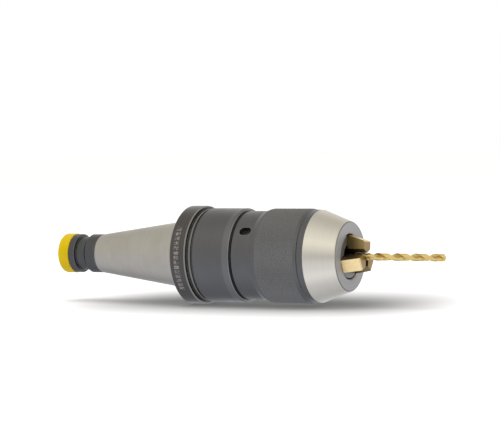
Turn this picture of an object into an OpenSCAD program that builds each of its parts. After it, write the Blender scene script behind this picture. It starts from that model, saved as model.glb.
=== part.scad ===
// Keyless self-tightening drill chuck on a No. 40, 7:24 taper shank.
// The chuck axis is X and the nose points to +X. X = 0 is the gauge plane of the taper.
// Angles about X are measured from +Z towards -Y. Millimetres.

/* [Taper shank] */
// Gauge diameter of the 7:24 taper at X = 0
gauge_d = 44.45; // [44.2:0.05:44.7]
// Distance from the gauge plane back to the small end of the taper
taper_len = 65.4; // [65:0.1:65.6]
// Diameter of the plain pilot behind the taper
pilot_d = 25.3; // [25:0.05:25.3]
// Distance from the gauge plane back to the end of the pilot
shank_len = 93.4; // [93:0.1:94]
// Diameter of the drawbar thread
drawbar_d = 16; // [15:0.1:16]
// Depth of the drawbar thread
drawbar_depth = 32; // [30:1:38]

/* [Flange] */
// Diameter of the flange
flange_d = 63; // [62:0.1:64]
// Thickness of the flange
flange_t = 11; // [10.6:0.1:11]
// Diameter of the ridge between the two narrow grooves
ridge_d = 59.2; // [58.8:0.1:59.6]

/* [Rotating sleeve and hood] */
// Diameter of the fixed body ring
ring_d = 59.9; // [59:0.1:60.4]
// Diameter of the plain rear part of the sleeve
sleeve_d = 56.5; // [56:0.1:57]
// Diameter over the knurled band
knurl_d = 59.1; // [58.8:0.1:59.8]
// Length of a spanner slot along the axis
spanner_l = 8; // [7:0.1:8.6]
// Width of a spanner slot
spanner_w = 5.5; // [5:0.1:6]
// Depth of a spanner slot
spanner_depth = 4.2; // [3:0.1:4.4]
// Number of spanner slots
spanner_n = 3; // [1:1:4]
// Diameter of the nose face
nose_d = 43; // [42:0.1:43.6]
// Diameter of the nose mouth at its bevel
mouth_d = 29.8; // [29.4:0.1:30.4]

/* [Jaws] */
// Width of a jaw
jaw_w = 8.7; // [8.2:0.1:8.8]
// Distance that the jaws stand out of the nose
jaw_out = 11.2; // [10:0.1:11.8]
// Turn of the first jaw about the axis
jaw_turn = -5; // [-30:1:30]

/* [Bearing and screw] */
// Number of thrust balls
ball_n = 26; // [12:1:28]
// Diameter of a thrust ball
ball_d = 3.5; // [3.3:0.02:3.52]
// Number of thread ridges on the feed screw
ridge_n = 9; // [4:1:9]

/* [Twist drill] */
// Diameter of the drill held in the jaws
drill_d = 4.8; // [4.6:0.1:4.8]
// Length of the drill
drill_len = 86; // [80:1:90]
// Length of the flutes, with the point
flute_len = 52; // [44:1:53]
// Helix pitch of the flutes
drill_pitch = 25.5; // [20:0.5:30]

/* [Hidden] */

// axial stations, from the flange to the nose
x_fl0 = 1.6;                     // rear face of the flange
x_fl1 = x_fl0 + flange_t;        // front face of the flange
x_ring0 = 16.9;                    // rear face of the body ring
x_ring1 = 42.9;                  // front face of the body ring
x_seat1 = 41.9;                  // front end of the ring's seat
x_slv0 = 43.7;                     // rear face of the rotating sleeve
x_lip1 = 50;                     // front of the sleeve's inner lip
x_race = 2.2;                    // thickness of a race
x_nut0 = 58;                     // rear face of the thrust nut
x_hub1 = 62;                     // front end of the hub and of the thrust nut
x_ball = (x_lip1 + x_nut0) / 2;  // ball centres
x_hood0 = 76.1;                  // rear end of the hood's threaded skirt
x_slv1 = 90.3;                   // front face of the sleeve
x_hood1 = 94.4;                  // shoulder of the hood
x_face = 114;                    // nose face
x_tip = x_face + jaw_out;        // jaw tips
// radii
r_g = gauge_d / 2;
r_s = r_g - taper_len * 7 / 48;  // small end of the taper
r_p = pilot_d / 2;
r_cap = r_p - 0.55;               // seat of the end cap
r_fl = flange_d / 2;
r_rg = ring_d / 2;
r_sl = sleeve_d / 2;
r_kn = knurl_d / 2;
r_seat = 25;                     // hub seat of the body ring
r_neck = 19;                     // hub neck that the sleeve turns on
r_hubt = 17.5;                   // hub thread of the thrust nut
r_screw = 8;                     // feed screw
r_pitch = 21.25;                  // ball circle
r_bore = 23.4;                   // bore round the bearing
r_cav = 25;                      // cavity round the jaw guide
r_skirt = 27;                    // hood thread in the sleeve
r_hood = 29.15;                  // large end of the hood
r_way = 14.05;                   // hood's inner cone, carried on to the nose face
r_back = 13.2;                   // flat back of a jaw at the nose face
r_jmax = 18.5;                   // largest radius of a jaw at rest
grip = drill_d / 2 + 0.02;       // gripping land of a jaw at rest
ta = tan(17);                    // slope of the jaw backs and the inner cone
// jaw guide and T-heads
x_gd0 = 80.5;
x_gd1 = 92.3;
x_th0 = 86;
x_th1 = 89.5;
x_jaw0 = 92.5;
x_pin = 83.2;
// twist drill
x_dt = 178.4;                    // point of the drill
x_dr = x_dt - drill_len;

fn_big = 128;
fn_mid = 64;

// Turns the Z axis of its children onto the chuck axis
module on_axis() rotate([0, 90, 0]) children();

// A turned solid from points [radius, X]
module turned(pts, fn = fn_big) on_axis() rotate_extrude($fn = fn) polygon(pts);

// A plain ring
module ring(r0, r1, x0, x1, fn = fn_big) turned([[r0, x0], [r1, x0], [r1, x1], [r0, x1]], fn);

// A round bar along the axis
module bar(r, x0, x1, fn = fn_mid) translate([x0, 0, 0]) on_axis() cylinder(r = r, h = x1 - x0, $fn = fn);

// A side profile [X, radius] as a plate of width w in the radial plane of +Z
module plate(pts, w) rotate([90, 0, 0]) linear_extrude(height = w, center = true) polygon(pts);

// Children repeated n times about the axis
module around(n, a0 = 0) for (i = [0 : n - 1]) rotate([a0 + i * 360 / n, 0, 0]) children();

module taper_shank() color([0.36, 0.36, 0.37]) difference() {
  turned([
    [0, -shank_len], [r_cap - 0.6, -shank_len], [r_cap, -shank_len + 0.6], [r_cap, -86.6],
    [r_p - 0.2, -86.6], [r_p, -86.4], [r_p, -82.4], [r_p - 0.3, -82.1], [10.9, -81.9], [10.9, -75.6],
    [r_p - 0.2, -73.8], [r_p, -73.5], [r_p, -66.9], [r_p - 0.3, -66.5], [r_p - 0.3, -taper_len - 0.2],
    [r_s, -taper_len],
    [r_g, 0], [r_g - 0.25, 0.3], [r_g - 0.25, x_fl0],
    [r_fl - 0.6, x_fl0], [r_fl, x_fl0 + 0.6], [r_fl, x_fl1 - 0.6], [r_fl - 0.6, x_fl1],
    [29.3, x_fl1], [29.3, 13.3], [28.8, 13.4], [28.8, 14.1], [ridge_d / 2, 14.3], [ridge_d / 2, 15.5], [28.8, 15.7], [28.8, x_ring0],
    [r_seat, x_ring0], [r_seat, x_seat1 - 0.4], [r_seat - 0.4, x_seat1],
    [r_neck, x_seat1], [r_neck, x_nut0], [r_hubt, x_nut0], [r_hubt, x_hub1 - 0.5], [r_hubt - 0.5, x_hub1],
    [0, x_hub1]]);
  // drawbar thread with its countersink and drill point
  translate([-shank_len, 0, 0]) on_axis() {
    translate([0, 0, -1]) cylinder(d = drawbar_d, h = drawbar_depth + 1, $fn = fn_mid);
    translate([0, 0, -0.01]) cylinder(r1 = drawbar_d / 2 + 1, r2 = drawbar_d / 2, h = 1, $fn = fn_mid);
    translate([0, 0, drawbar_depth - 0.01]) cylinder(r1 = drawbar_d / 2, r2 = 0.2, h = 4.5, $fn = fn_mid);
  }
  // thread bore of the feed screw
  bar(r_screw + 0.06, 20, x_hub1 + 1);
  translate([x_hub1 - 0.8, 0, 0]) on_axis() cylinder(r1 = r_screw + 0.06, r2 = r_screw + 0.9, h = 0.85, $fn = fn_mid);
  translate([16, 0, 0]) on_axis() cylinder(r1 = 0.2, r2 = r_screw + 0.06, h = 4.01, $fn = fn_mid);
}

module end_cap() color([0.82, 0.72, 0.08]) turned([
  [0, -shank_len - 1.3], [11.7, -shank_len - 1.3], [12.4, -shank_len - 1.1], [12.8, -shank_len - 0.6], [12.95, -shank_len + 0.1],
  [12.95, -86.95], [12.8, -86.7], [r_cap + 0.05, -86.7],
  [r_cap + 0.05, -shank_len + 0.55], [r_cap - 0.62, -shank_len - 0.08], [0, -shank_len - 0.08]]);

module body_ring() color([0.37, 0.37, 0.38]) difference() {
  turned([
    [r_seat + 0.02, x_ring0], [r_rg - 0.5, x_ring0], [r_rg, x_ring0 + 0.5],
    [r_rg, 41.6], [29.2, x_ring1], [28.2, x_ring1], [28.2, x_seat1], [r_seat + 0.02, x_seat1]]);
  rotate([-90, 0, 0]) translate([29, 0, 20]) cylinder(r = 3, h = 15, $fn = 48);
}

module ring_set_screw() color([0.2, 0.2, 0.21]) rotate([-90, 0, 0]) translate([29, 0, 0]) difference() {
  translate([0, 0, r_seat + 0.02]) cylinder(r = 2.97, h = 4, $fn = 48);
  translate([0, 0, r_seat + 2]) cylinder(d = 3 / cos(30), h = 5, $fn = 6);
}

module dust_seal() color([0.08, 0.08, 0.08]) turned([
  [22.6, x_seat1 + 0.02], [28.15, x_seat1 + 0.02], [28.15, x_slv0 - 0.35], [27.9, x_slv0 - 0.1], [22.9, x_slv0 - 0.1], [22.6, x_slv0 - 0.4]]);

module thrust_nut() color([0.45, 0.45, 0.46]) difference() {
  turned([
    [r_hubt + 0.02, x_nut0], [r_bore - 0.6, x_nut0], [r_bore - 0.3, x_nut0 + 0.3],
    [r_bore - 0.3, x_hub1 - 0.5], [r_bore - 0.8, x_hub1], [r_hubt + 0.02, x_hub1]]);
  around(2, 30) translate([(x_nut0 + x_hub1) / 2, 0, 10]) cylinder(r = 1.25, h = 20, $fn = 32);
}

module nut_lock_screws() color([0.2, 0.2, 0.21]) around(2, 30) translate([(x_nut0 + x_hub1) / 2, 0, 0]) difference() {
  translate([0, 0, r_hubt + 0.1]) cylinder(r = 1.22, h = 5.4, $fn = 32);
  translate([0, 0, r_hubt + 4]) cylinder(d = 1.3 / cos(30), h = 5, $fn = 6);
}

module front_race() color([0.72, 0.72, 0.73]) ring(r_neck + 0.02, r_bore - 0.1, x_nut0 - x_race, x_nut0 - 0.02);

module rear_race() color([0.72, 0.72, 0.73]) ring(r_neck + 0.35, r_bore - 0.02, x_lip1 + 0.02, x_lip1 + x_race);

module thrust_balls() color([0.8, 0.8, 0.82])
  around(ball_n) translate([x_ball, 0, r_pitch]) sphere(d = ball_d, $fn = 24);

module ball_cage() color([0.7, 0.55, 0.25]) difference() {
  ring(19.15, r_bore - 0.1, x_ball - 0.7, x_ball + 0.7);
  around(ball_n) translate([x_ball - 2, 0, r_pitch]) on_axis() cylinder(d = ball_d + 0.15, h = 4, $fn = 24);
}

module sleeve_bush() color([0.66, 0.5, 0.25]) ring(r_neck + 0.05, 21, x_slv0 + 0.3, x_lip1 - 0.3);

module knurled_sleeve() color([0.38, 0.38, 0.39]) difference() {
  turned([
    [21.02, x_slv0], [r_sl - 0.6, x_slv0], [r_sl, x_slv0 + 0.6],
    [r_sl, 57], [r_kn, 60.5], [r_kn, 88.6], [29.3, 89.1], [29.3, 89.6], [28.6, x_slv1],
    [r_skirt + 0.02, x_slv1], [r_skirt + 0.02, x_hood0 - 0.1], [r_cav, x_hood0 - 0.1],
    [r_cav, 62.5], [r_bore, 62.5], [r_bore, x_lip1], [21.02, x_lip1]]);
  // spanner slots
  around(spanner_n, 54) translate([52, 0, r_sl - spanner_depth]) for (s = [-1, 1])
    translate([s * (spanner_l - spanner_w) / 2, 0, 0]) {
      cylinder(d = spanner_w, h = 10, $fn = 32);
      translate([s > 0 ? -(spanner_l - spanner_w) / 2 : 0, -spanner_w / 2, 0]) cube([(spanner_l - spanner_w) / 2, spanner_w, 10]);
    }
}

module hood_ring() color([0.36, 0.36, 0.37]) turned([
  [r_skirt + 0.02, x_slv1 + 0.02], [r_hood - 0.35, x_slv1 + 0.02], [r_hood, x_slv1 + 0.35],
  [r_hood, x_hood1 - 0.3], [r_hood - 0.25, x_hood1 - 0.03], [r_skirt + 0.02, x_hood1 - 0.03]]);

module hood() color([0.78, 0.76, 0.72]) difference() {
  turned([
    [24.8, x_hood0], [r_skirt - 0.5, x_hood0], [r_skirt, x_hood0 + 0.5],
    [r_skirt, 84.9], [25.9, 84.9], [25.9, 86.3], [r_skirt, 86.3], [r_skirt, x_hood1],
    [r_hood - 0.15, x_hood1], [r_hood, x_hood1 + 0.25],
    [nose_d / 2 + 0.6, x_face - 0.7], [nose_d / 2, x_face],
    [mouth_d / 2, x_face], [r_way + 0.85 * ta, x_face - 0.85],
    [24.8, x_face - (24.8 - r_way) / ta]]);
}

module hood_seal() color([0.08, 0.08, 0.08]) on_axis()
  translate([0, 0, 85.6]) rotate_extrude($fn = fn_big) translate([26.45, 0]) circle(r = 0.54, $fn = 24);

module jaw_guide() color([0.5, 0.5, 0.52]) difference() {
  turned([
    [6.02, x_gd0], [17.2, x_gd0], [17.8, x_gd0 + 0.6], [17.8, x_gd1 - 0.6], [17.2, x_gd1],
    [3.5, x_gd1], [3.5, 85.9], [6.02, 85.9]]);
  around(3, jaw_turn) {
    translate([x_th0 - 0.1, -jaw_w / 2 - 0.1, 7.8]) cube([x_th1 - x_th0 + 0.2, jaw_w + 0.2, 20]);
    translate([x_th1, -2.6, 7.8]) cube([x_gd1 - x_th1 + 1, 5.2, 20]);
  }
  rotate([jaw_turn + 60, 0, 0]) translate([x_pin, 0, -20]) cylinder(r = 1.27, h = 40, $fn = 32);
}

module feed_screw() color([0.55, 0.55, 0.57]) difference() {
  turned(concat(
    [[0, 40], [6.2, 40]],
    [for (i = [0 : ridge_n - 1]) each [
      [6.2, 41.5 + i * 4], [r_screw, 42.1 + i * 4], [r_screw, 43.5 + i * 4], [6.2, 44.1 + i * 4]]],
    [[6.2, 79.4], [7.6, 79.4], [7.6, x_gd0 - 0.02], [6, x_gd0 - 0.02], [6, 85.8], [0, 85.8]]));
  rotate([jaw_turn + 60, 0, 0]) translate([x_pin, 0, -20]) cylinder(r = 1.27, h = 40, $fn = 32);
}

module lock_pin() color([0.75, 0.75, 0.76])
  rotate([jaw_turn + 60, 0, 0]) translate([x_pin, 0, -17.3]) cylinder(r = 1.25, h = 34.6, $fn = 32);

// One jaw in the radial plane of +Z, closed on the drill
module jaw() color([0.83, 0.7, 0.45]) {
  difference() {
    intersection() {
      plate([
        [x_th0, 8], [x_jaw0, 8], [x_jaw0, grip], [x_tip - 0.4, grip], [x_tip, grip + 0.4],
        [x_tip, r_back - jaw_out * ta - 0.5], [x_tip - 0.7, r_back - (jaw_out - 0.7) * ta],
        [x_face - (r_jmax - r_back) / ta, r_jmax], [x_jaw0, r_jmax], [x_jaw0, 17.5], [x_th0, 17.5]], jaw_w);
      // 120 degree roof with a narrow gripping land
      rotate([90, 0, 90]) linear_extrude(height = 140) polygon([
        [-0.4, grip - 0.001], [0.4, grip - 0.001], [jaw_w / 2, grip + (jaw_w / 2 - 0.4) / tan(60)],
        [jaw_w / 2, 30], [-jaw_w / 2, 30], [-jaw_w / 2, grip + (jaw_w / 2 - 0.4) / tan(60)]]);
    }
    // neck of the T-head
    for (s = [-1, 1]) translate([x_th1, s > 0 ? 2.5 : -12.5, 5]) cube([x_jaw0 - x_th1, 10, 20]);
  }
}

module jaw_a() rotate([jaw_turn, 0, 0]) jaw();
module jaw_b() rotate([jaw_turn + 120, 0, 0]) jaw();
module jaw_c() rotate([jaw_turn + 240, 0, 0]) jaw();

module twist_drill() color([0.8, 0.62, 0.28]) {
  r = drill_d / 2;
  point = r / tan(59);
  intersection() {
    translate([x_dt - flute_len, 0, 0]) on_axis()
      linear_extrude(height = flute_len, twist = -360 * flute_len / drill_pitch, slices = 48)
        difference() {
          circle(r = r, $fn = 24);
          for (a = [0, 180]) rotate(a) translate([0.81 * r, 0.1 * r]) circle(r = 0.6 * r, $fn = 18);
        }
    on_axis() rotate_extrude($fn = 24) polygon([
      [0, x_dt - flute_len - 1], [r + 0.02, x_dt - flute_len - 1], [r + 0.02, x_dt - point], [0, x_dt]]);
  }
  turned([[0, x_dr], [r - 0.3, x_dr], [r, x_dr + 0.5], [r, x_dt - flute_len + 0.4], [0.3 * r, x_dt - flute_len + 2.5], [0, x_dt - flute_len + 2.5]], 48);
}

taper_shank();
end_cap();
body_ring();
ring_set_screw();
dust_seal();
thrust_nut();
nut_lock_screws();
front_race();
ball_cage();
thrust_balls();
rear_race();
sleeve_bush();
knurled_sleeve();
hood_ring();
hood();
hood_seal();
jaw_guide();
feed_screw();
lock_pin();
jaw_a();
jaw_b();
jaw_c();
twist_drill();
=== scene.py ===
import math

import bpy
from mathutils import Matrix, Vector


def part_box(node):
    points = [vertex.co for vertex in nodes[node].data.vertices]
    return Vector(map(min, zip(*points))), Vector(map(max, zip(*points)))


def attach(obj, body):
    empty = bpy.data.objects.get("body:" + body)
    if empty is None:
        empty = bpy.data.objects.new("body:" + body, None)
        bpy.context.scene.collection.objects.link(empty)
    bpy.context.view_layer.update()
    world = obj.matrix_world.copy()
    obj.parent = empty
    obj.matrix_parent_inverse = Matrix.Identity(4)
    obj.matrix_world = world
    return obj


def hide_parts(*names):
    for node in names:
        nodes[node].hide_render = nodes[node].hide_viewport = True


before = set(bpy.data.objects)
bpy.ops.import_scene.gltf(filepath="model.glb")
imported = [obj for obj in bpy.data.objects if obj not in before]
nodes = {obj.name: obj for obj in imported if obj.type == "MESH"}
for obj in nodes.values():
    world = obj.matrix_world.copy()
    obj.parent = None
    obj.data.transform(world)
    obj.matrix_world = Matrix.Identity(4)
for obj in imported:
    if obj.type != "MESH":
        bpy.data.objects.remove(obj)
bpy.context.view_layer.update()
MM = 0.001


# ---------------------------------------------------------------- materials
def new_mat(name):
    m = bpy.data.materials.new(name)
    m.use_nodes = True
    return m, m.node_tree.nodes, m.node_tree.links, m.node_tree.nodes["Principled BSDF"]


def math_node(n, links, op, a, b=None, clamp=False):
    m = n.new("ShaderNodeMath")
    m.operation = op
    m.use_clamp = clamp
    for i, v in enumerate((a, b)):
        if v is None:
            continue
        if isinstance(v, (int, float)):
            m.inputs[i].default_value = v
        else:
            links.new(v, m.inputs[i])
    return m.outputs[0]


def axial(n, links):
    """Object coordinates as (x, radius, turn), so that marks run round the axis."""
    tc = n.new("ShaderNodeTexCoord")
    sep = n.new("ShaderNodeSeparateXYZ")
    links.new(tc.outputs["Object"], sep.inputs[0])
    x, y, z = sep.outputs
    r = math_node(n, links, "SQRT", math_node(n, links, "ADD", math_node(n, links, "MULTIPLY", y, y), math_node(n, links, "MULTIPLY", z, z)))
    turn = math_node(n, links, "ARCTAN2", z, math_node(n, links, "MULTIPLY", y, -1.0))
    return tc, x, r, turn


def combine(n, links, x, y, z):
    c = n.new("ShaderNodeCombineXYZ")
    for i, v in enumerate((x, y, z)):
        if isinstance(v, (int, float)):
            c.inputs[i].default_value = v
        else:
            links.new(v, c.inputs[i])
    return c.outputs[0]


def noise(n, links, vec, scale, detail=3.0, rough=0.55):
    t = n.new("ShaderNodeTexNoise")
    t.inputs["Scale"].default_value = scale
    t.inputs["Detail"].default_value = detail
    t.inputs["Roughness"].default_value = rough
    links.new(vec, t.inputs["Vector"])
    return t.outputs["Fac"]


def ramp(n, links, fac, stops):
    r = n.new("ShaderNodeValToRGB")
    links.new(fac, r.inputs[0])
    el = r.color_ramp.elements
    while len(el) < len(stops):
        el.new(0.5)
    for e, (p, c) in zip(el, stops):
        e.position = p
        e.color = (*c, 1.0) if len(c) == 3 else c
    return r.outputs[0]


def mix_rgb(n, links, fac, a, b, mode="MIX"):
    m = n.new("ShaderNodeMix")
    m.data_type = "RGBA"
    m.blend_type = mode
    for s, v in ((m.inputs["Factor"], fac), (m.inputs["A"], a), (m.inputs["B"], b)):
        pass
    fs, As, Bs = m.inputs[0], m.inputs[6], m.inputs[7]
    for s, v in ((fs, fac), (As, a), (Bs, b)):
        if isinstance(v, (int, float)):
            s.default_value = v
        elif isinstance(v, tuple):
            s.default_value = (*v, 1.0)
        else:
            links.new(v, s)
    return m.outputs[2]


def step(n, links, v, edge, soft=0.00005):
    m = n.new("ShaderNodeMapRange")
    m.inputs["From Min"].default_value = edge - soft
    m.inputs["From Max"].default_value = edge + soft
    links.new(v, m.inputs["Value"])
    return m.outputs["Result"]


def band(n, links, v, lo, hi, soft=0.00005):
    return math_node(n, links, "MULTIPLY", step(n, links, v, lo, soft),
                     math_node(n, links, "SUBTRACT", 1.0, step(n, links, v, hi, soft)))


def rounded(n, links, height, strength, distance, radius=0.00022):
    bev = n.new("ShaderNodeBevel")
    bev.samples = 4
    bev.inputs["Radius"].default_value = radius
    bump = n.new("ShaderNodeBump")
    bump.inputs["Strength"].default_value = strength
    bump.inputs["Distance"].default_value = distance
    links.new(height, bump.inputs["Height"])
    links.new(bev.outputs[0], bump.inputs["Normal"])
    return bump.outputs[0]


def worn_and_highlit_edges(n, links, color, light, size=0.0005, gain=5.0):
    """Lightens a colour along sharp edges, as worn coating and as a painted highlight along each edge."""
    bev = n.new("ShaderNodeBevel")
    bev.samples = 6
    bev.inputs["Radius"].default_value = size
    geo = n.new("ShaderNodeNewGeometry")
    d = n.new("ShaderNodeVectorMath")
    d.operation = "DOT_PRODUCT"
    links.new(bev.outputs[0], d.inputs[0])
    links.new(geo.outputs["Normal"], d.inputs[1])
    edge = math_node(n, links, "MULTIPLY", math_node(n, links, "SUBTRACT", 1.0, d.outputs["Value"]), gain, clamp=True)
    return mix_rgb(n, links, edge, color, light)


def shaded(n, links, color, distance, least):
    """Paints shade into a colour in deep recesses, from ambient occlusion."""
    ao = n.new("ShaderNodeAmbientOcclusion")
    ao.samples = 8
    ao.inputs["Distance"].default_value = distance
    m = n.new("ShaderNodeMapRange")
    m.inputs["To Min"].default_value = least
    links.new(ao.outputs["AO"], m.inputs["Value"])
    k = m.outputs["Result"]
    return mix_rgb(n, links, 1.0, color, combine(n, links, k, k, k), "MULTIPLY")


def turned_metal(name, color, rough=0.3, line=0.12, vary=0.1, stain=None, aniso=0.35, bump=0.25, painted_highlight_bands=()):
    """Steel turned or ground round the axis: fine lines round it, a slow mottle, and rounded edges."""
    m, n, links, b = new_mat(name)
    tc, x, r, turn = axial(n, links)
    lines = noise(n, links, combine(n, links, math_node(n, links, "MULTIPLY", x, 5200.0), math_node(n, links, "MULTIPLY", r, 5200.0), math_node(n, links, "MULTIPLY", turn, 1.2)), 1.0, 4.0)
    slow = noise(n, links, tc.outputs["Object"], 55.0, 4.0, 0.6)
    col = ramp(n, links, lines, [(0.3, tuple(c * (1 - line) for c in color)), (0.7, tuple(min(1.0, c * (1 + line)) for c in color))])
    dark = stain or tuple(c * (1 - 2.2 * vary) for c in color)
    col = mix_rgb(n, links, ramp(n, links, slow, [(0.42, (0, 0, 0)), (0.78, (vary * 6, vary * 6, vary * 6))]), col, dark)
    # painted highlight bands: lighter colour over given stretches of the axis, standing in for light caught by edges
    # and bevels
    for x0, x1, soft, c in painted_highlight_bands:
        col = mix_rgb(n, links, band(n, links, x, x0, x1, soft), col, c)
    col = worn_and_highlit_edges(n, links, col, tuple(min(1.0, 0.6 * c + 0.14) for c in color))
    links.new(col, b.inputs["Base Color"])
    b.inputs["Metallic"].default_value = 1.0
    rr = n.new("ShaderNodeMapRange")
    rr.inputs["To Min"].default_value = rough * 0.85
    rr.inputs["To Max"].default_value = rough * 1.2
    links.new(slow, rr.inputs["Value"])
    links.new(rr.outputs["Result"], b.inputs["Roughness"])
    b.inputs["Anisotropic"].default_value = aniso
    links.new(rounded(n, links, lines, bump, 0.00001), b.inputs["Normal"])
    return m


DARK = (0.121, 0.121, 0.123)
mat_dark = turned_metal("dark_steel", DARK, rough=0.34, line=0.07, vary=0.05, aniso=0.3, bump=0.2)
# the ring's bands are painted highlights: a light line at its rear edge, a lighter zone towards its front end and a
# light line at its front edge
mat_ring = turned_metal("dark_steel_ring_painted_highlights", DARK, rough=0.34, line=0.07, vary=0.05, aniso=0.3, bump=0.2,
                        painted_highlight_bands=[(0.0168, 0.0174, 0.00008, (0.22, 0.22, 0.22)), (0.0385, 0.0423, 0.0008, (0.155, 0.155, 0.157)), (0.0422, 0.0431, 0.00005, (0.2, 0.2, 0.2))])
mat_knurl = turned_metal("knurled_dark_steel", (0.140, 0.139, 0.138), rough=0.36, line=0.05, vary=0.04, aniso=0.0, bump=0.1)
mat_black = turned_metal("black_oxide", (0.03, 0.03, 0.033), rough=0.4, line=0.05, vary=0.05)
mat_inner = turned_metal("inner_steel", (0.30, 0.29, 0.28), rough=0.35, line=0.06, vary=0.05)
mat_nose = turned_metal("guide_nose_steel", (0.30, 0.298, 0.295), rough=0.48, line=0.06, vary=0.04)
mat_race = turned_metal("race_steel", (0.6, 0.6, 0.6), rough=0.16, line=0.03, vary=0.02, aniso=0.2, bump=0.1)
mat_brass = turned_metal("brass", (0.62, 0.44, 0.17), rough=0.32, line=0.06, vary=0.05)


def shank_material():
    """One forging: the cone is ground bright, and the pilot, collar and flange stay black oxide."""
    m, n, links, b = new_mat("ground_taper_and_black_oxide")
    tc, x, r, turn = axial(n, links)
    lines = noise(n, links, combine(n, links, math_node(n, links, "MULTIPLY", x, 5200.0), math_node(n, links, "MULTIPLY", r, 5200.0), math_node(n, links, "MULTIPLY", turn, 1.2)), 1.0, 4.0)
    slow = noise(n, links, tc.outputs["Object"], 48.0, 5.0, 0.62)
    rings = noise(n, links, combine(n, links, math_node(n, links, "MULTIPLY", x, 420.0), 0.0, math_node(n, links, "MULTIPLY", turn, 0.25)), 1.0, 3.0)
    bright = ramp(n, links, lines, [(0.3, (0.385, 0.365, 0.325)), (0.7, (0.44, 0.42, 0.375))])
    bright = mix_rgb(n, links, ramp(n, links, slow, [(0.45, (0, 0, 0)), (0.8, (0.5, 0.5, 0.5))]), bright, (0.33, 0.295, 0.245))
    bright = mix_rgb(n, links, ramp(n, links, rings, [(0.55, (0, 0, 0)), (0.72, (0.35, 0.35, 0.35))]), bright, (0.47, 0.45, 0.41))
    pilot = ramp(n, links, lines, [(0.3, (0.078, 0.079, 0.081)), (0.7, (0.098, 0.099, 0.102))])
    flange = ramp(n, links, lines, [(0.3, (0.078, 0.074, 0.070)), (0.7, (0.10, 0.096, 0.092))])
    # plain etched dashes round the near side of the flange
    cells = n.new("ShaderNodeTexBrick")
    cells.offset = 0.5
    cells.inputs["Scale"].default_value = 1.0
    cells.inputs["Brick Width"].default_value = 3.1
    cells.inputs["Row Height"].default_value = 4.4
    cells.inputs["Mortar Size"].default_value = 0.45
    cells.inputs["Mortar Smooth"].default_value = 0.1
    cells.inputs["Color1"].default_value = (1, 1, 1, 1)
    cells.inputs["Color2"].default_value = (0.5, 0.5, 0.5, 1)
    cells.inputs["Mortar"].default_value = (0, 0, 0, 1)
    links.new(combine(n, links, math_node(n, links, "MULTIPLY", turn, 31.5), math_node(n, links, "MULTIPLY", math_node(n, links, "SUBTRACT", x, 0.0043), 1000.0), 0.0), cells.inputs["Vector"])
    mark = math_node(n, links, "MULTIPLY", cells.outputs["Color"], band(n, links, x, 0.0045, 0.0082))
    mark = math_node(n, links, "MULTIPLY", mark, band(n, links, turn, -0.75, 0.66, 0.002))
    mark = math_node(n, links, "MULTIPLY", mark, step(n, links, r, 0.0312))
    broken = noise(n, links, combine(n, links, math_node(n, links, "MULTIPLY", x, 620.0), 0.0, math_node(n, links, "MULTIPLY", turn, 34.0)), 1.0, 1.0)
    mark = math_node(n, links, "MULTIPLY", mark, step(n, links, broken, 0.47, 0.04))
    flange = mix_rgb(n, links, math_node(n, links, "MULTIPLY", mark, 0.9), flange, (0.34, 0.30, 0.28))
    # painted highlights: a light line on the flange's front chamfer, then a lighter band on the narrow land in front
    # of the flange
    flange = mix_rgb(n, links, math_node(n, links, "MULTIPLY", band(n, links, x, 0.01195, 0.01262), step(n, links, r, 0.0307)), flange, (0.27, 0.26, 0.25))
    flange = mix_rgb(n, links, band(n, links, x, 0.01425, 0.01555), flange, (0.20, 0.195, 0.19))
    is_taper = band(n, links, x, -0.0662, 0.0015)
    col = mix_rgb(n, links, step(n, links, x, -0.02), pilot, flange)
    col = worn_and_highlit_edges(n, links, col, (0.25, 0.235, 0.22))
    col = mix_rgb(n, links, is_taper, col, bright)
    links.new(col, b.inputs["Base Color"])
    b.inputs["Metallic"].default_value = 1.0
    rr = n.new("ShaderNodeMapRange")
    rr.inputs["To Min"].default_value = 0.26
    rr.inputs["To Max"].default_value = 0.42
    links.new(slow, rr.inputs["Value"])
    links.new(rr.outputs["Result"], b.inputs["Roughness"])
    b.inputs["Anisotropic"].default_value = 0.35
    links.new(rounded(n, links, lines, 0.25, 0.00001), b.inputs["Normal"])
    return m


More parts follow.
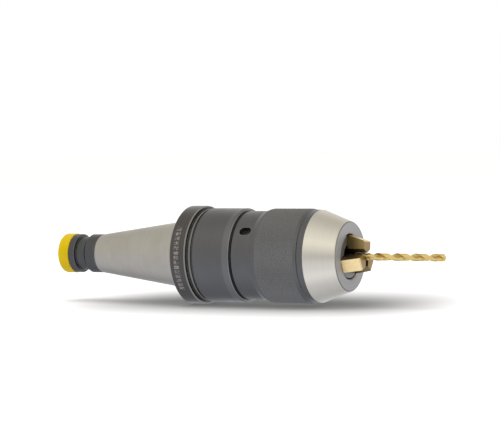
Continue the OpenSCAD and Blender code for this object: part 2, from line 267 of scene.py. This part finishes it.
def hood_material():
    """Ground bright cone, a greyer turned face, and a painted dark line of shade on the chamfer between them."""
    m, n, links, b = new_mat("bright_ground_steel")
    tc, x, r, turn = axial(n, links)
    lines = noise(n, links, combine(n, links, math_node(n, links, "MULTIPLY", x, 3600.0), math_node(n, links, "MULTIPLY", r, 3600.0), math_node(n, links, "MULTIPLY", turn, 0.8)), 1.0, 4.0)
    slow = noise(n, links, tc.outputs["Object"], 30.0, 2.0, 0.5)
    col = ramp(n, links, lines, [(0.3, (0.62, 0.59, 0.515)), (0.7, (0.68, 0.65, 0.575))])
    face = ramp(n, links, lines, [(0.3, (0.34, 0.338, 0.342)), (0.7, (0.42, 0.418, 0.422))])
    col = mix_rgb(n, links, step(n, links, x, 0.11396, 0.00003), col, face)
    # painted shade: a dark line on the chamfer between the cone and the face
    edge = math_node(n, links, "MULTIPLY", band(n, links, x, 0.1134, 0.11397, 0.0001), step(n, links, r, 0.0212, 0.0001))
    col = mix_rgb(n, links, math_node(n, links, "MULTIPLY", edge, 0.85), col, (0.17, 0.155, 0.145))
    links.new(col, b.inputs["Base Color"])
    bore = math_node(n, links, "MULTIPLY", math_node(n, links, "SUBTRACT", 1.0, step(n, links, r, 0.0168)), math_node(n, links, "SUBTRACT", 1.0, step(n, links, x, 0.1139, 0.00003)))
    on_face = step(n, links, x, 0.11396, 0.00003)
    dull = math_node(n, links, "ADD", math_node(n, links, "MULTIPLY", bore, 0.8), math_node(n, links, "MULTIPLY", on_face, 0.35))
    links.new(math_node(n, links, "SUBTRACT", 1.0, dull, clamp=True), b.inputs["Metallic"])
    rr = n.new("ShaderNodeMapRange")
    rr.inputs["To Min"].default_value = 0.25
    rr.inputs["To Max"].default_value = 0.33
    links.new(slow, rr.inputs["Value"])
    links.new(math_node(n, links, "ADD", rr.outputs["Result"], math_node(n, links, "MULTIPLY", on_face, 0.2)), b.inputs["Roughness"])
    b.inputs["Anisotropic"].default_value = 0.5
    links.new(rounded(n, links, lines, 0.15, 0.00001, 0.00012), b.inputs["Normal"])
    return m


def gold_material(name, color, rough, turn_deg=None):
    m, n, links, b = new_mat(name)
    tc = n.new("ShaderNodeTexCoord")
    mp = n.new("ShaderNodeMapping")
    mp.inputs["Scale"].default_value = (120.0, 1400.0, 1400.0)
    links.new(tc.outputs["Object"], mp.inputs["Vector"])
    grain = noise(n, links, mp.outputs[0], 1.0, 4.0)
    slow = noise(n, links, tc.outputs["Object"], 130.0, 3.0)
    col = ramp(n, links, grain, [(0.3, tuple(c * 0.93 for c in color)), (0.7, tuple(min(1, c * 1.06) for c in color))])
    col = mix_rgb(n, links, ramp(n, links, slow, [(0.45, (0, 0, 0)), (0.8, (0.35, 0.35, 0.35))]), col, (color[0] * 0.82, color[1] * 0.74, color[2] * 0.6))
    if turn_deg is not None:  # the two flanks and the front end face of a jaw get painted shade, darker than its back
        a = math.radians(turn_deg)
        d = n.new("ShaderNodeVectorMath")
        d.operation = "DOT_PRODUCT"
        d.inputs[1].default_value = (0.0, math.cos(a), math.sin(a))
        links.new(tc.outputs["Object"], d.inputs[0])
        painted_flank_shade = step(n, links, math_node(n, links, "ABSOLUTE", d.outputs["Value"]), 0.00428, 0.00002)
        col = mix_rgb(n, links, painted_flank_shade, col, (0.33, 0.245, 0.095))
        # painted shade on the front end face of the jaw as well
        nrm = n.new("ShaderNodeSeparateXYZ")
        links.new(tc.outputs["Normal"], nrm.inputs[0])
        col = mix_rgb(n, links, step(n, links, nrm.outputs[0], 0.75, 0.05), col, (0.36, 0.25, 0.10))
    col = shaded(n, links, col, 0.014, 0.12)
    links.new(col, b.inputs["Base Color"])
    b.inputs["Metallic"].default_value = 1.0
    rr = n.new("ShaderNodeMapRange")
    rr.inputs["To Min"].default_value = rough * 0.85
    rr.inputs["To Max"].default_value = rough * 1.2
    links.new(slow, rr.inputs["Value"])
    links.new(rr.outputs["Result"], b.inputs["Roughness"])
    links.new(rounded(n, links, grain, 0.2, 0.00001, 0.00015), b.inputs["Normal"])
    return m


mat_jaws = [gold_material("gold_coating_jaw_" + k, (0.90, 0.70, 0.37), 0.3, t) for k, t in (("a", -5), ("b", 115), ("c", 235))]
mat_drill = gold_material("gold_coating_drill", (0.76, 0.57, 0.22), 0.26)


def soft_material(name, color, rough, grain=900.0, bump=0.15, sss=0.0, spec=0.3):
    m, n, links, b = new_mat(name)
    tc = n.new("ShaderNodeTexCoord")
    fine = noise(n, links, tc.outputs["Object"], grain, 4.0)
    slow = noise(n, links, tc.outputs["Object"], 90.0, 3.0)
    col = ramp(n, links, slow, [(0.35, tuple(c * 0.9 for c in color)), (0.7, tuple(min(1, c * 1.06) for c in color))])
    links.new(col, b.inputs["Base Color"])
    rr = n.new("ShaderNodeMapRange")
    rr.inputs["To Min"].default_value = rough * 0.85
    rr.inputs["To Max"].default_value = rough * 1.15
    links.new(fine, rr.inputs["Value"])
    links.new(rr.outputs["Result"], b.inputs["Roughness"])
    b.inputs["Specular IOR Level"].default_value = spec
    b.inputs["Subsurface Weight"].default_value = sss
    b.inputs["Subsurface Radius"].default_value = (0.0012, 0.0008, 0.0002)
    b.inputs["Subsurface Scale"].default_value = 1.0
    links.new(rounded(n, links, fine, bump, 0.00003, 0.0004), b.inputs["Normal"])
    return m


mat_vinyl = soft_material("yellow_vinyl", (0.58, 0.41, 0.001), 0.4, 700.0, 0.1, 0.05, 0.12)
mat_rubber = soft_material("black_rubber", (0.018, 0.018, 0.018), 0.6)

looks = {
    "taper_shank": shank_material(), "end_cap": mat_vinyl, "body_ring": mat_ring, "ring_set_screw": mat_black,
    "dust_seal": mat_rubber, "thrust_nut": mat_dark, "nut_lock_screws": mat_black, "front_race": mat_race,
    "ball_cage": mat_brass, "thrust_balls": mat_race, "rear_race": mat_race, "sleeve_bush": mat_brass,
    "knurled_sleeve": mat_dark, "hood_ring": mat_dark, "hood": hood_material(), "hood_seal": mat_rubber,
    "jaw_guide": mat_inner, "feed_screw": mat_inner, "lock_pin": mat_race,
    "jaw_a": mat_jaws[0], "jaw_b": mat_jaws[1], "jaw_c": mat_jaws[2], "twist_drill": mat_drill,
}
for name, mat in looks.items():
    o = nodes[name]
    if not o.material_slots:
        o.data.materials.append(mat)
    for s in o.material_slots:
        s.link = "OBJECT"
        s.material = mat


# ---------------------------------------------------------------- meshes
def new_object(name, verts, faces, mat, smooth=True):
    me = bpy.data.meshes.new(name)
    me.from_pydata(verts, [], faces)
    me.update()
    if smooth:
        for p in me.polygons:
            p.use_smooth = True
    me.materials.append(mat)
    o = bpy.data.objects.new(name, me)
    bpy.context.scene.collection.objects.link(o)
    return o


def on_ring(x, r, t):
    """A point at x along the axis, radius r, and turn t from the near side upwards, in mm and radians."""
    return (x * MM, -r * math.cos(t) * MM, r * math.sin(t) * MM)


def knurl(r0, depth, x0, x1, pitch_u, pitch_v, mat):
    """Diamond knurl: one four-sided pyramid for each diamond between crossed grooves."""
    nu = 2 * round(2 * math.pi * r0 / pitch_u)
    nv = 2 * round((x1 - x0) / pitch_v)
    verts, faces = [], []
    for j in range(nv + 1):
        for i in range(nu):
            x = x0 + (x1 - x0) * j / nv
            peak = (i + j) % 2 == 1 and 0 < j < nv
            verts.append(on_ring(x, r0 + (depth if peak else 0.0), 2 * math.pi * i / nu))
    at = lambda i, j: j * nu + i % nu
    for j in range(nv + 1):
        for i in range(nu):
            if (i + j) % 2 == 0:
                continue
            c = at(i, j)
            if j < nv:
                faces += [(c, at(i, j + 1), at(i + 1, j)), (c, at(i - 1, j), at(i, j + 1))]
            if j > 0:
                faces += [(c, at(i + 1, j), at(i, j - 1)), (c, at(i, j - 1), at(i - 1, j))]
    return new_object("knurl_diamonds", verts, faces, mat, smooth=False)


kn_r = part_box("knurled_sleeve")[1][2] * 1000
kn = knurl(kn_r - 0.01, 0.32, 60.9, 88.4, 1.5, 1.55, mat_knurl)
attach(kn, "sleeve")


def drill_mesh(mat):
    """Two-flute drill: lands with a raised margin, a parabolic flute, a 118 degree point and a plain shank."""
    R, x_tip, x_back, flute, lead = 2.4, 178.4, 92.4, 52.0, 25.5
    nt = 96
    prof = []
    for i in range(nt):
        a = (i / nt * 360.0) % 180.0
        if a < 9:
            r = R
        elif a < 82:
            r = R * 0.955
        else:
            u = (a - 82) / 98.0
            r = R * (0.27 + 0.685 * abs(2 * u - 1) ** 2.2)
        prof.append(r)
    rows, verts, faces = [], [], []
    x = x_back
    rows.append((x, 0.8, 1.0))
    rows.append((x + 0.5, 1.0, 1.0))
    xf = x_tip - flute
    steps = 8
    for k in range(steps + 1):
        rows.append((x + 0.5 + (xf - x - 0.5) * k / steps, 1.0, 1.0))
    n = 230
    for k in range(1, n + 1):
        xx = xf + flute * k / n
        runout = max(0.0, 1.0 - (xx - xf) / 6.0)
        rows.append((xx, 1.0, runout))
    for xx, s, plain in rows:
        twist = -2 * math.pi * (xx - xf) / lead
        cap = (x_tip - xx) * math.tan(math.radians(59)) + 0.02
        for i in range(nt):
            r = (prof[i] * (1 - plain) + R * plain) * s
            verts.append(on_ring(xx, min(r, cap), 2 * math.pi * i / nt + twist))
    for j in range(len(rows) - 1):
        for i in range(nt):
            a, b = j * nt + i, j * nt + (i + 1) % nt
            faces.append((a, b, b + nt, a + nt))
    faces.append(tuple(range(nt - 1, -1, -1)))
    faces.append(tuple(range((len(rows) - 1) * nt, len(rows) * nt)))
    return new_object("fluted_drill", verts, faces, mat)


dr = drill_mesh(mat_drill)
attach(dr, "drill")
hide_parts("twist_drill")
mod = dr.modifiers.new("edges", "EDGE_SPLIT")
mod.split_angle = math.radians(38)



def guide_nose(x0, x1, r_in, r_out, half_slot, first_turn, mat):
    """Three ribs on the front of the jaw guide, which fill the mouth of the hood between the jaws."""
    verts, faces = [], []
    for k in range(3):
        lo, hi = math.radians(first_turn + 120 * k), math.radians(first_turn + 120 * (k + 1))
        ring = []
        for r, back in ((r_out, False), (r_in, True)):
            a0, a1 = lo + math.asin(half_slot / r), hi - math.asin(half_slot / r)
            arc = [(r, a0 + (a1 - a0) * i / 24) for i in range(25)]
            ring += reversed(arc) if back else arc
        m, base = len(ring), len(verts)
        levels = [(x0, 0.0), (x1 - 0.5, 0.0), (x1, 0.5)]
        mid = 0.5 * (r_in + r_out)
        for x, cut in levels:
            verts += [on_ring(x, r - cut if r > mid else r, t) for r, t in ring]
        for j in range(len(levels) - 1):
            for i in range(m):
                a, b = base + j * m + i, base + j * m + (i + 1) % m
                faces.append((a, b, b + m, a + m))
        faces.append(tuple(base + i for i in range(m - 1, -1, -1)))
        faces.append(tuple(base + (len(levels) - 1) * m + i for i in range(m)))
    return new_object("guide_nose", verts, faces, mat, smooth=False)


nose = guide_nose(92.28, 113.3, 8.4, 13.75, 4.6, -25.0, mat_nose)
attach(nose, "guide")

# ---------------------------------------------------------------- floor, light, camera
# The floor is pale, with a painted shadow: a soft, slanted dark pool under the chuck that takes up to 95% off its
# colour; a faint even glow keeps the rest white.
fm, n, links, b = new_mat("floor")
tc = n.new("ShaderNodeTexCoord")
mp = n.new("ShaderNodeMapping")
mp.vector_type = "TEXTURE"
mp.inputs["Location"].default_value = (0.0437, 0.0226, 0.0)
mp.inputs["Scale"].default_value = (0.1223, 0.0882, 1.0)
links.new(tc.outputs["Object"], mp.inputs["Vector"])
sep = n.new("ShaderNodeSeparateXYZ")
links.new(mp.outputs[0], sep.inputs[0])
slant = math_node(n, links, "ADD", sep.outputs[0], math_node(n, links, "MULTIPLY", sep.outputs[1], 0.084))
px = math_node(n, links, "POWER", math_node(n, links, "ABSOLUTE", slant), 4.2)
py = math_node(n, links, "POWER", math_node(n, links, "ABSOLUTE", sep.outputs[1]), 1.83)
painted_shadow_pool = math_node(n, links, "EXPONENT", math_node(n, links, "MULTIPLY", math_node(n, links, "ADD", px, py), -1.0))
shade = math_node(n, links, "SUBTRACT", 1.0, math_node(n, links, "MULTIPLY", painted_shadow_pool, 0.95))
floor_col_with_painted_shadow = combine(n, links, math_node(n, links, "MULTIPLY", shade, 0.97), math_node(n, links, "MULTIPLY", shade, 0.975), shade)
links.new(floor_col_with_painted_shadow, b.inputs["Base Color"])
b.inputs["Roughness"].default_value = 0.7
b.inputs["Specular IOR Level"].default_value = 0.1
b.inputs["Emission Color"].default_value = (1, 1, 1, 1)
b.inputs["Emission Strength"].default_value = 0.12
z = -31.5 * MM - 0.00005
floor = new_object("floor", [(-6, -6, z), (6, -6, z), (6, 6, z), (-6, 6, z)], [(0, 1, 2, 3)], fm, smooth=False)
# the floor is hidden from glossy rays, so the metal reflects the white world and not the painted shadow
floor.visible_glossy = False

scene = bpy.context.scene
world = bpy.data.worlds.new("world")
scene.world = world
world.use_nodes = True
wn, wl = world.node_tree.nodes, world.node_tree.links
bg = wn["Background"]
tc = wn.new("ShaderNodeTexCoord")
sep = wn.new("ShaderNodeSeparateXYZ")
wl.new(tc.outputs["Generated"], sep.inputs[0])


def lobe(direction, power, gain):
    """A soft lobe of light, or of shade if gain is negative, towards a direction."""
    d = wn.new("ShaderNodeVectorMath")
    d.operation = "DOT_PRODUCT"
    d.inputs[1].default_value = Vector(direction).normalized()
    wl.new(tc.outputs["Generated"], d.inputs[0])
    p = math_node(wn, wl, "POWER", math_node(wn, wl, "MAXIMUM", d.outputs["Value"], 0.0), power)
    return math_node(wn, wl, "MULTIPLY", p, gain)


total = 0.98
for direction, power, gain in (
    ((0.0, 0.0, 1.0), 2.0, -0.16), ((0.0, 0.3, -1.0), 2.0, -0.18),
    ((-0.10, -0.53, 0.80), 16.0, 0.34), ((-0.10, -0.66, -0.70), 16.0, 0.24),
    ((-0.13, -0.98, 0.0), 22.0, -0.1), ((0.30, -0.95, 0.04), 60.0, -0.42),
    ((0.27, -0.76, 0.60), 40.0, 0.34), ((0.23, -0.62, -0.74), 40.0, 0.2),
    ((-0.05, 0.5, 0.87), 9.0, -0.2), ((-0.05, 0.5, -0.87), 9.0, -0.12), ((-0.55, 0.5, -0.67), 12.0, -0.30),
):
    total = math_node(wn, wl, "ADD", total, lobe(direction, power, gain))
lp = wn.new("ShaderNodeLightPath")
cam_mix = wn.new("ShaderNodeMix")
wl.new(lp.outputs["Is Camera Ray"], cam_mix.inputs[0])
wl.new(total, cam_mix.inputs[2])
cam_mix.inputs[3].default_value = 1.0
wl.new(cam_mix.outputs[0], bg.inputs["Strength"])
# the light is a little warm from above and a little cool from below; the backdrop itself is white
warm = wn.new("ShaderNodeMapRange")
warm.interpolation_type = "SMOOTHSTEP"
warm.inputs["From Min"].default_value = -0.5
warm.inputs["From Max"].default_value = 0.5
wl.new(sep.outputs[2], warm.inputs["Value"])
tint = mix_rgb(wn, wl, warm.outputs["Result"], (0.985, 1.0, 1.07), (1.02, 1.0, 0.95))
wl.new(mix_rgb(wn, wl, lp.outputs["Is Camera Ray"], tint, (1.0, 1.0, 1.0)), bg.inputs["Color"])


def area(name, loc, target, size, power, size_y=None):
    ld = bpy.data.lights.new(name, "AREA")
    ld.energy = power
    ld.size = size
    if size_y:
        ld.shape = "RECTANGLE"
        ld.size_y = size_y
    o = bpy.data.objects.new(name, ld)
    o.location = loc
    o.rotation_euler = (Vector(target) - Vector(loc)).to_track_quat("-Z", "Y").to_euler()
    scene.collection.objects.link(o)
    return o


key = area("softbox_top", (0.04, -0.1, 1.3), (0.04, 0, 0), 1.3, 9.0, 0.9)
key.visible_glossy = False

al, el, roll, D = math.radians(28.15), math.radians(2.29), math.radians(-1.1), 1.4
c = Vector((math.sin(al) * math.cos(el), -math.cos(al) * math.cos(el), math.sin(el)))
T = Vector((0.0435, 0.0, 0.0282))
cam_data = bpy.data.cameras.new("camera")
cam_data.sensor_width = 36.0
cam_data.lens = 2199.3 / 500 * 36.0
cam_data.clip_start = 0.01
cam = bpy.data.objects.new("camera", cam_data)
scene.collection.objects.link(cam)
rot = (-c).to_track_quat("-Z", "Y").to_matrix().to_4x4() @ Matrix.Rotation(roll, 4, "Z")
cam.matrix_world = Matrix.Translation(T + D * c) @ rot
scene.camera = cam
scene.view_settings.view_transform = "Standard"
scene.view_settings.look = "None"

bpy.context.view_layer.update()
